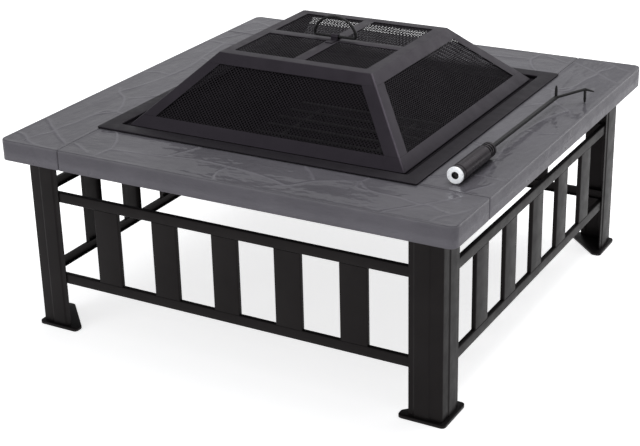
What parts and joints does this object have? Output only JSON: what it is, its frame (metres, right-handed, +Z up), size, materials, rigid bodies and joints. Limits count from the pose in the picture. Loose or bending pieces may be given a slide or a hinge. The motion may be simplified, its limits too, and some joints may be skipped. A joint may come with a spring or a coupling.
{
  "type": "fire pit table",
  "caption": "Low square fire pit table with slatted sides, ribbed angle legs, a drop-in square fire bowl, a lift-off pyramid spark screen with a ring handle, and a poker.",
  "frame": {"origin": "on the ground, under the centre of the square table", "axes": "+Z up, +X to the right along the front edge, +Y from the front edge to the back edge"},
  "size_m": [0.86, 0.86, 0.5215],
  "materials": {
    "slate_paint": "slate-grey powder coat, semi-gloss, faintly embossed like split stone",
    "black_paint": "black-brown powder coat, satin",
    "bowl_paint": "dark grey high-temperature paint, satin",
    "screen_paint": "dark grey high-temperature paint, satin",
    "mesh_wire": "black painted diamond mesh",
    "grate_black": "black high-temperature paint, matt",
    "ring_black": "black paint, satin",
    "cap_chrome": "bright chrome",
    "grip_grey": "dark grey, satin",
    "poker_black": "black paint, satin"
  },
  "bodies": {
    "table": {"table_panel_front": "slate_paint", "table_panel_right": "slate_paint", "table_panel_back": "slate_paint", "table_panel_left": "slate_paint", "leg_front_left": "black_paint", "leg_front_right": "black_paint", "leg_back_right": "black_paint", "leg_back_left": "black_paint", "foot_plate_front_left": "black_paint", "foot_plate_front_right": "black_paint", "foot_plate_back_right": "black_paint", "foot_plate_back_left": "black_paint", "front_rail_lower": "black_paint", "front_rail_upper": "black_paint", "front_slat_1": "black_paint", "front_slat_2": "black_paint", "front_slat_3": "black_paint", "front_slat_4": "black_paint", "front_slat_5": "black_paint", "right_rail_lower": "black_paint", "right_rail_upper": "black_paint", "right_slat_1": "black_paint", "right_slat_2": "black_paint", "right_slat_3": "black_paint", "right_slat_4": "black_paint", "right_slat_5": "black_paint", "back_rail_lower": "black_paint", "back_rail_upper": "black_paint", "back_slat_1": "black_paint", "back_slat_2": "black_paint", "back_slat_3": "black_paint", "back_slat_4": "black_paint", "back_slat_5": "black_paint", "left_rail_lower": "black_paint", "left_rail_upper": "black_paint", "left_slat_1": "black_paint", "left_slat_2": "black_paint", "left_slat_3": "black_paint", "left_slat_4": "black_paint", "left_slat_5": "black_paint"},
    "bowl": {"fire_bowl": "bowl_paint"},
    "grate": {"log_grate": "grate_black"},
    "screen": {"screen_foot_frame": "screen_paint", "screen_top_frame": "screen_paint", "screen_strut_front_left": "screen_paint", "screen_strut_front_right": "screen_paint", "screen_strut_back_right": "screen_paint", "screen_strut_back_left": "screen_paint", "screen_mesh_front": "mesh_wire", "screen_mesh_right": "mesh_wire", "screen_mesh_back": "mesh_wire", "screen_mesh_left": "mesh_wire", "screen_mesh_top": "mesh_wire", "screen_cross_bars": "screen_paint", "handle_strap": "screen_paint"},
    "ring": {"handle_ring": "ring_black"},
    "poker": {"poker_end_cap": "cap_chrome", "poker_grip": "grip_grey", "poker_shaft": "poker_black"}
  },
  "joints": [
    {"name": "bowl_lift", "type": "slide", "parent": "table", "child": "bowl", "axis": [0, 0, 1], "range_m": [0, 0.15]},
    {"name": "grate_lift", "type": "slide", "parent": "bowl", "child": "grate", "axis": [0, 0, 1], "range_m": [0, 0.15]},
    {"name": "screen_lift", "type": "slide", "parent": "bowl", "child": "screen", "axis": [0, 0, 1], "range_m": [0, 0.3]},
    {"name": "ring_fold", "type": "hinge", "parent": "screen", "child": "ring", "pos_m": [0, 0, 0.483], "axis": [1, 0, 0], "range_deg": [-95, 95]},
    {"name": "poker_lift", "type": "slide", "parent": "table", "child": "poker", "axis": [0, 0, 1], "range_m": [0, 0.25]}
  ]
}
